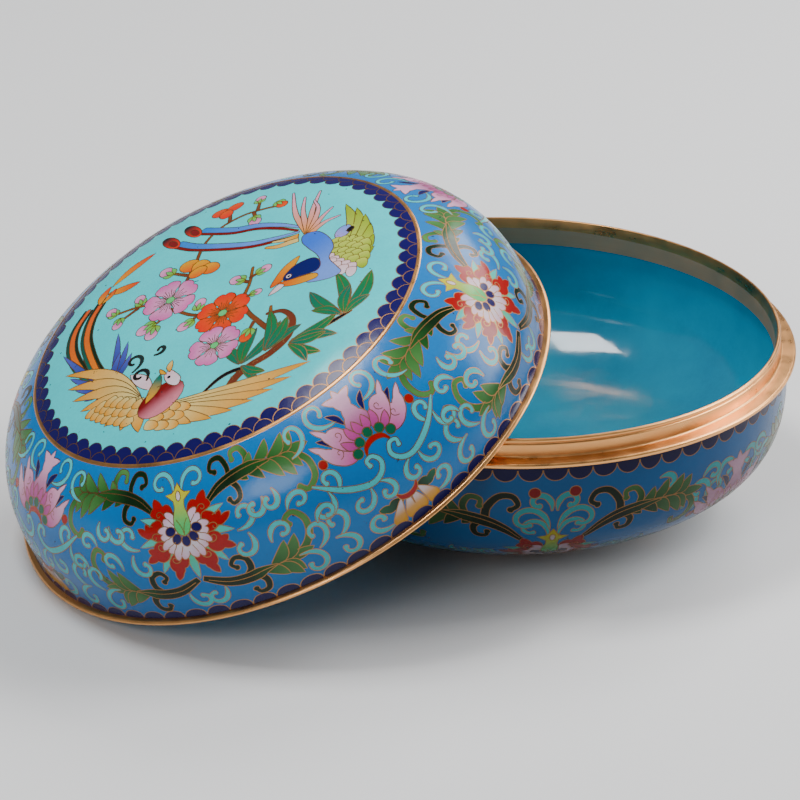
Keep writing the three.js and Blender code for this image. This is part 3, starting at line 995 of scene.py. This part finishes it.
def grid(width, height, step):
    """Rows of points, each second row moved by half a step."""
    nx, ny = int(width / step) + 1, int(height / step) + 1
    x, y = np.meshgrid(np.linspace(0, width, nx), np.linspace(0, height, ny))
    x = x + np.where((np.arange(ny) % 2)[:, None] & (x > 0) & (x < width), step / 2, 0)
    return np.stack([x.clip(0, width).ravel(), y.ravel()], 1)


def wrap_scroll(name, painting, surface, phase, painted_shade, enamel, gilt):
    """Repeats half a repeat, and its mirror image, round the surface. Painted shade darkens the
    enamel:
    its colours are scaled from the first of the shade values at y = 0 to the second at the top."""
    height = painting.field[:, 1].max()
    flat, faces, colours = painting.triangulate(grid(HALF, height, LATTICE))
    # painted shade: the enamel's colours darkened towards one edge of the chart
    painted_shading = np.interp(flat[faces][..., 1], (0, height), painted_shade)
    colours = colours * painted_shading[..., None]
    wire_points, wire_faces = ribbon_mesh(painting.ribbons())

    def round_it(points, lift):
        verts, normals = [], []
        for k in range(2 * REPEATS):
            sign = 1 if k % 2 == 0 else -1
            x = (k // 2) * 2 * HALF + sign * points[:, 0]
            y = points[:, 1]
            fade = np.clip(np.minimum(y, height - y) / WANDER_FADE, 0, 1)
            across, up = hand_drawn(x % (2 * REPEATS * HALF), y)
            seam = np.sin(np.pi * points[:, 0] / HALF) ** 2
            angle = phase + (x + across * fade * seam) / CHART_RADIUS
            v, n = surface.at(y + up * fade * seam, angle, lift)
            verts.append(v)
            normals.append(n)
        return np.vstack(verts), np.vstack(normals)

    def repeat(faces, count):
        return np.vstack([(faces if k % 2 == 0 else faces[:, ::-1]) + k * count
                          for k in range(2 * REPEATS)])

    verts, normals = round_it(flat, 0.0)
    uv, tint = [], []
    for k in range(2 * REPEATS):
        sign = 1 if k % 2 == 0 else -1
        corner = flat[faces]
        u = 0.5 + sign * corner[..., 0] / HALF / SCROLL_SPAN
        v = (k // 2 + UV_MARGIN + (1 - 2 * UV_MARGIN) * corner[..., 1] / height) / REPEATS
        both = np.stack([u, v], -1)
        uv.append(both if sign > 0 else both[:, ::-1])
        tint.append(colours if sign > 0 else colours[:, ::-1])
    shell = build(name, verts, repeat(faces, len(flat)), normals, enamel, np.vstack(tint),
                  np.vstack(uv))
    verts, normals = round_it(wire_points, WIRE_RISE)
    wires = build(name + "_wires", verts, repeat(wire_faces, len(wire_points)), normals, gilt)
    return shell


def wrap_picture(name, painting, surface, turn, enamel, gilt):
    """Lays a round painting over the surface's pole, turned by `turn`."""
    rings = [ellipse(0, 0, r, r, n=max(6, int(2 * np.pi * r / LATTICE)))
             for r in np.arange(LATTICE, PICTURE_EDGE - RING_WIDTH, LATTICE)]
    flat, faces, colours = painting.triangulate(np.vstack(rings))

    def laid(points, lift):
        distance = np.hypot(*points.T)
        angle = np.arctan2(points[:, 1], points[:, 0]) + turn
        return surface.at(surface.total - distance, angle, lift)

    verts, normals = laid(flat, 0.0)
    uv = 0.5 + flat[faces] / (PICTURE_SPAN * PICTURE_EDGE)
    panel = build(name, verts, faces, normals, enamel, colours, uv)
    wire_points, wire_faces = ribbon_mesh(painting.ribbons())
    verts, normals = laid(wire_points, WIRE_RISE)
    wires = build(name + "_wires", verts, wire_faces, normals, gilt)


# ---- Materials ----------------------------------------------------------------------------------

BUBBLE = (0.02, 0.02, 0.03)      # the dark of a pit in the enamel
TARNISH = 0.88                   # how much darker the gilt is where it is worn
ALL_OF_IT = 1.0


class Nodes:
    """A material under construction."""

    def __init__(self, name):
        self.material = bpy.data.materials.new(name)
        self.material.use_nodes = True
        self.tree = self.material.node_tree
        self.shader = self.tree.nodes["Principled BSDF"]

    def add(self, kind, settings=(), **inputs):
        node = self.tree.nodes.new(kind)
        for key, value in dict(settings).items():
            setattr(node, key, value)
        for key, value in inputs.items():
            self.feed(node.inputs[key.replace("_", " ")], value)
        return node

    def feed(self, socket, value):
        if isinstance(value, bpy.types.NodeSocket):
            self.tree.links.new(value, socket)
        else:
            socket.default_value = value

    def set(self, **inputs):
        for key, value in inputs.items():
            self.feed(self.shader.inputs[key.replace("_", " ")], value)

    def noise(self, scale, detail, rough=0.5, stretch=(1, 1, 1), where="Object"):
        place = self.add("ShaderNodeTexCoord").outputs[where]
        mapped = self.add("ShaderNodeMapping", Vector=place, Scale=stretch).outputs[0]
        return self.add("ShaderNodeTexNoise", Vector=mapped, Scale=scale, Detail=detail,
                        Roughness=rough).outputs["Fac"]

    def between(self, fac, low, high, start=0.3, end=0.7):
        """Where `fac` goes from `start` to `end`, from `low` to `high`."""
        return self.add("ShaderNodeMapRange", Value=fac, From_Min=start, From_Max=end, To_Min=low,
                        To_Max=high).outputs[0]

    def mix(self, fac, a, b, blend="MIX"):
        node = self.add("ShaderNodeMix", {"data_type": "RGBA", "blend_type": blend})
        self.feed(node.inputs[0], fac)
        self.feed(node.inputs[6], a if isinstance(a, bpy.types.NodeSocket) else (*a, 1))
        self.feed(node.inputs[7], b if isinstance(b, bpy.types.NodeSocket) else (*b, 1))
        return node.outputs[2]

    def bump(self, height, strength, distance):
        return self.add("ShaderNodeBump", Height=height, Strength=strength,
                        Distance=distance).outputs[0]


def painted_enamel(name, shine):
    """The painting's own colours, cloudy, with a fine grain and a few pits."""
    m = Nodes(name)
    colour = m.add("ShaderNodeAttribute", {"attribute_name": "Enamel"}).outputs["Color"]
    cloudy = m.between(m.noise(60, 4, 0.6), 0.0, 1.0)
    fine = m.between(m.noise(900, 3, 0.6), 0.0, 1.0, 0.35, 0.65)
    darker = m.mix(ALL_OF_IT, colour, (0.84, 0.88, 0.90), "MULTIPLY")
    shaded = m.mix(cloudy, darker, colour)
    grain = m.mix(ALL_OF_IT, shaded, (0.93, 0.94, 0.95), "MULTIPLY")
    pits = m.between(m.noise(520, 1, 0.4), 0.0, 1.0, 0.78, 0.80)
    m.set(Base_Color=m.mix(pits, m.mix(fine, grain, shaded), BUBBLE),
          Roughness=m.between(m.noise(140, 4, 0.6), 0.15, 0.26),
          Specular_IOR_Level=shine,
          Normal=m.bump(m.noise(170, 2, 0.4), 0.10, 0.0008))
    return m.material


def counter_enamel():
    """The plain turquoise enamel inside."""
    m = Nodes("counter enamel")
    cloudy = m.between(m.noise(26, 3, 0.6), 0.0, 1.0)
    fine = m.between(m.noise(700, 3, 0.6), 0.0, 1.0)
    deep = m.mix(fine, linear(14, 130, 158), linear(18, 138, 166))
    m.set(Base_Color=m.mix(cloudy, deep, linear(30, 156, 182)),
          Roughness=m.between(m.noise(90, 4, 0.6), 0.07, 0.18),
          Coat_Weight=0.4, Coat_Roughness=0.04,
          Normal=m.bump(m.noise(75, 2, 0.4), 0.16, 0.0012))
    return m.material


def gilt_metal(name, colour, roughness, streaks, metallic=1.0):
    """Metal that is duller in `streaks` rings round the piece, and worn in patches."""
    m = Nodes(name)
    turned = m.noise(1.0, 1.5, 0.5, (6, streaks, 1), "UV")
    worn = m.noise(120, 4, 0.6)
    tarnish = tuple(TARNISH * share for share in colour)
    m.set(Base_Color=m.mix(m.between(worn, 0.0, 1.0), tarnish, colour), Metallic=metallic)
    blend = m.add("ShaderNodeMath", {"operation": "ADD"})
    m.feed(blend.inputs[0], m.between(turned, 0.0, 0.10))
    m.feed(blend.inputs[1], m.between(worn, *roughness))
    m.set(Roughness=blend.outputs[0])
    return m.material


def floor_paper():
    m = Nodes("pale floor")
    m.set(Base_Color=m.mix(m.noise(3, 2), (0.80, 0.80, 0.80), (0.83, 0.83, 0.83)), Roughness=0.7)
    return m.material


# ---- The box ------------------------------------------------------------------------------------

LID_A_FLOWER = math.radians(50.3)      # where a white-and-red flower stands, round each axis
BASE_A_FLOWER = math.radians(-80.4)
PICTURE_TURN = math.radians(154.0)
LID_PAINTED_SHADE = (0.5, 1.0)           # painted shade: how dark the enamel is painted at the rim or the foot, and at the other edge
BASE_PAINTED_SHADE = (0.13, 0.28)
LID_SHINE, BASE_SHINE = 0.28, 0.14
STREAKS = 16                     # across a turned piece's gilt
LINING_POINTS = 60
EASE = 0.5                       # how far the mouth ring's edges are cut back
RING_ACROSS = np.array([-1, -0.6, 0, 0.6, 1])          # the gilt ring's section, in half widths
RING_RISE = np.array([-0.05, 0.07, 0.10, 0.07, -0.05])

ring_low, ring_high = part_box("mouth_ring")
base_pose = Matrix.Translation(((ring_low.x + ring_high.x) / 2, (ring_low.y + ring_high.y) / 2, 0))
rim_low, rim_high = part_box("lid_rim")
lid_turn = Matrix.Rotation(LID_AZIMUTH, 4, "Z") @ Matrix.Rotation(LID_TILT, 4, "Y")
rim_middle = (rim_low + rim_high) / 2
lid_pose = Matrix.Translation(rim_middle) @ lid_turn @ Matrix.Translation(
    (0, 0, -RIM_HEIGHT / 2 * MM))

enamel = painted_enamel("lid enamel", LID_SHINE)
base_enamel = painted_enamel("base enamel", BASE_SHINE)
inside_enamel = counter_enamel()
gilt = gilt_metal("gilt", linear(222, 172, 128), (0.2, 0.38), STREAKS)
bare_metal = gilt_metal("bare metal", linear(176, 152, 130), (0.5, 0.7), STREAKS, metallic=0.7)
wire_gilt = gilt_metal("gilt wire", linear(150, 116, 86), (0.3, 0.45), 1)
# painted shade: a darker copy of the wire gilt, for the wires on the base
shaded_wire_gilt = gilt_metal("shaded gilt wire", linear(112, 86, 64), (0.35, 0.5), 1)


def lid():
    foot = RIM_HEIGHT + 0.1
    outer = quarter_curve(BODY_RADIUS - INSET, LID_WIDE_Z, LID_TOP - INSET, DOME_ROUNDNESS)
    flare = np.array([(DOME_FOOT_RADIUS - 0.5, foot), (BODY_RADIUS, (foot + LID_WIDE_Z) / 2)])
    surface = Surface(np.vstack([flare, outer]), lid_pose)
    ring_at = surface.total - PICTURE_EDGE
    half = RING_WIDTH / 2
    side = wrap_scroll("lid_side", lotus_scroll(ring_at - half), surface, LID_A_FLOWER,
                       LID_PAINTED_SHADE, enamel, wire_gilt)
    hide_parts("lid_dome")
    wrap_picture("lid_picture", picture(), surface, PICTURE_TURN, enamel, wire_gilt)
    r, z, nr, nz = (np.interp(ring_at + half * RING_ACROSS, surface.length, values)
                    for values in (*surface.profile.T, *surface.across.T))
    section = np.stack([r + nr * RING_RISE, z + nz * RING_RISE], 1)
    band = lathe("lid_ring", section, lid_pose, gilt, 0, closed=False)
    bore = BODY_RADIUS - WALL
    inner = quarter_curve(bore, LID_WIDE_Z, LID_TOP - WALL, DOME_ROUNDNESS, n=LINING_POINTS)[::-1]
    lining = lathe("lid_lining", np.vstack([inner, [(bore, foot)]]), lid_pose, inside_enamel, 0,
                   closed=False)
    edge = [(RIM_BORE, 0), (RIM_RADIUS - 1.7, 0), (RIM_RADIUS - INSET, RIM_HEIGHT - 1.1),
            (RIM_RADIUS - INSET, RIM_HEIGHT - 0.6), (RIM_RADIUS - 0.8, RIM_HEIGHT),
            (bore - 0.4, RIM_HEIGHT + 0.2), (RIM_BORE, RIM_HEIGHT - 0.4)]
    rim = lathe("lid_rim_gilt", edge, lid_pose, gilt, 0.3)
    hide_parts("lid_rim")


def base():
    wide = BODY_RADIUS - INSET
    to_foot = math.acos((FOOT_RADIUS / BODY_RADIUS) ** (BOWL_ROUNDNESS[0] / 2))
    outer = quarter_curve(wide, BASE_WIDE_Z, BOWL_POLE_Z, BOWL_ROUNDNESS, to_foot, 0.0)
    flange_under = SEAT_Z - FLANGE_THICKNESS
    surface = Surface(np.vstack([outer, [(wide, flange_under)]]), base_pose)
    side = wrap_scroll("base_side", base_scroll(surface.total), surface, BASE_A_FLOWER,
                       BASE_PAINTED_SHADE, base_enamel, shaded_wire_gilt)
    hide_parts("base_bowl")
    bowl_bore = BODY_RADIUS - WALL
    skirt_end = SEAT_Z - SKIRT
    inner = quarter_curve(bowl_bore, BASE_WIDE_Z, UNDERSIDE_Z + WALL, BOWL_ROUNDNESS,
                          n=LINING_POINTS)[::-1]
    under_skirt = [(bowl_bore, skirt_end - 0.8), (bowl_bore - 0.5, skirt_end - 0.2),
                   (COLLAR_BORE + 0.1, skirt_end - 0.05)]
    lining = lathe("base_lining", np.vstack([inner, under_skirt]), base_pose, inside_enamel, 0,
                   closed=False)
    foot_z = outer[0][1]
    foot_inside = FOOT_RADIUS - FOOT_THICKNESS
    foot = lathe("base_foot", [(foot_inside - 0.4, UNDERSIDE_Z), (foot_inside, 0),
                               (FOOT_RADIUS - 0.4, 0), (FOOT_RADIUS - INSET, 0.8),
                               (FOOT_RADIUS, foot_z + 0.2), (FOOT_RADIUS - 1.2, foot_z + 0.6),
                               (foot_inside - 0.4, UNDERSIDE_Z + 0.8)], base_pose, gilt, 0.3)
    under = lathe("base_underside", [(foot_inside, UNDERSIDE_Z + INSET), (0.01, UNDERSIDE_Z + 0.2)],
                  base_pose, inside_enamel, 0, closed=False)
    skirt = bowl_bore - 0.3
    outside = RIM_RADIUS - INSET
    groove = COLLAR_RADIUS - 0.35
    lip = COLLAR_TOP_Z - 0.05
    ring = [(COLLAR_BORE, skirt_end), (skirt, skirt_end), (skirt, flange_under),
            (outside - EASE, flange_under), (outside, flange_under + EASE),
            (outside, SEAT_Z - EASE), (outside - EASE, SEAT_Z), (COLLAR_RADIUS + EASE, SEAT_Z),
            (COLLAR_RADIUS, SEAT_Z + EASE),
            (COLLAR_RADIUS, COLLAR_TOP_Z - 2.1), (groove, COLLAR_TOP_Z - 1.8),
            (groove, COLLAR_TOP_Z - 1.6), (COLLAR_RADIUS, COLLAR_TOP_Z - 1.3),
            (COLLAR_RADIUS, COLLAR_TOP_Z - EASE), (COLLAR_RADIUS - EASE, lip),
            (COLLAR_RADIUS - 1.2, lip), (COLLAR_BORE, COLLAR_TOP_Z - COLLAR_BEVEL)]
    mouth_ring = lathe("mouth_ring_gilt", ring, base_pose, gilt, 0.35, closed=False,
                       turns=2 * TURNS)
    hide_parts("mouth_ring")
    bore = lathe("mouth_ring_bore", [ring[-1], ring[0]], base_pose, bare_metal, 0, closed=False,
                 turns=2 * TURNS)


lid()
base()

# ---- Floor, light and camera --------------------------------------------------------------------

CAMERA_TILT, CAMERA_PAN, CAMERA_ROLL = 0.4388, -0.0239, -0.0056
CAMERA_FROM_BASE = Vector((0.0, -1.58788, 0.78141))
LENS, SENSOR = 225.0, 36.0
NEAREST, FARTHEST = 0.1, 20.0
FLOOR_SIZE = 8.0
STUDIO_GREY, STUDIO_GLOW = (0.9, 0.94, 1.0, 1), 0.2
LIGHTS_AIM = Vector((0, 0, 0.05))
LIGHTS = (                       # each one's place, size and power, in metres and watts
    ("overhead", (-0.36, 0.0, 1.3), (0.5, 0.36), 10),
    ("front", (-0.6, -1.5, 1.0), (0.7, 0.5), 9),
    ("right", (1.12, 0.28, 0.75), (0.5, 1.1), 19),
    ("back", (0.72, 1.15, 1.25), (0.9, 0.6), 15),
)


def look():
    """The camera, at the photograph's angle: pan, then tilt down, then roll."""
    camera = bpy.data.objects.new("camera", bpy.data.cameras.new("camera"))
    camera.data.lens, camera.data.sensor_width = LENS, SENSOR
    camera.data.clip_start, camera.data.clip_end = NEAREST, FARTHEST
    place = Matrix.Translation(base_pose.translation + CAMERA_FROM_BASE)
    pan = Matrix.Rotation(-CAMERA_PAN, 4, "Z")
    tilt = Matrix.Rotation(math.pi / 2 - CAMERA_TILT, 4, "X")
    camera.matrix_world = place @ pan @ tilt @ Matrix.Rotation(-CAMERA_ROLL, 4, "Z")
    bpy.context.collection.objects.link(camera)
    bpy.context.scene.camera = camera


def softbox(name, at, size, power):
    light = bpy.data.lights.new(name, "AREA")
    light.shape, light.size, light.size_y = "RECTANGLE", *size
    light.energy = power
    lamp = bpy.data.objects.new(name, light)
    lamp.location = at
    lamp.rotation_euler = (Vector(at) - LIGHTS_AIM).to_track_quat("Z", "Y").to_euler()
    bpy.context.collection.objects.link(lamp)


def surroundings():
    """World, floor and lights."""
    world = bpy.data.worlds.new("studio")
    world.use_nodes = True
    backdrop = world.node_tree.nodes["Background"].inputs
    backdrop["Color"].default_value = STUDIO_GREY
    backdrop["Strength"].default_value = STUDIO_GLOW
    bpy.context.scene.world = world
    bpy.ops.mesh.primitive_plane_add(size=FLOOR_SIZE)
    floor = bpy.context.object
    floor.name = "floor"
    floor.data.materials.append(floor_paper())
    for light in LIGHTS:
        softbox(*light)


look()
surroundings()
